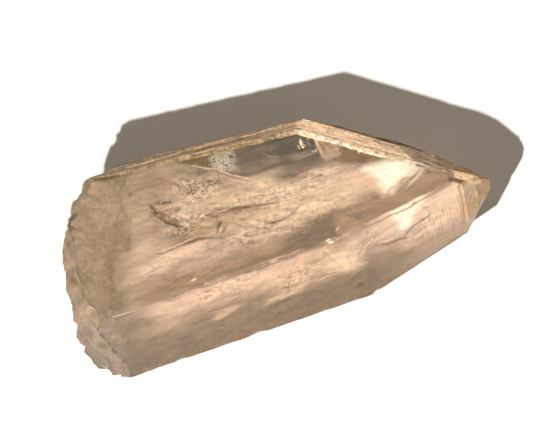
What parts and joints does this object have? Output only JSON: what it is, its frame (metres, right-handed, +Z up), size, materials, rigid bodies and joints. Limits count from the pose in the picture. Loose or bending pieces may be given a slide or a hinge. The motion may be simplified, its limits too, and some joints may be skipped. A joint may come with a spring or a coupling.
{
  "type": "quartz crystal",
  "caption": "Natural quartz point lying on one prism face, with a lopsided chisel tip and a rough broken base.",
  "frame": {"origin": "middle of the outline as seen from above, at the height of the face it lies on", "axes": "+X along the long axis towards the point, +Z up from the face it lies on, +Y across"},
  "size_m": [0.071, 0.0338, 0.0251],
  "materials": {
    "quartz": "glossy natural faces, dull rough break, faint brown iron stain at the tip"
  },
  "bodies": {
    "root": {"quartz_crystal": "quartz"}
  },
  "joints": []
}
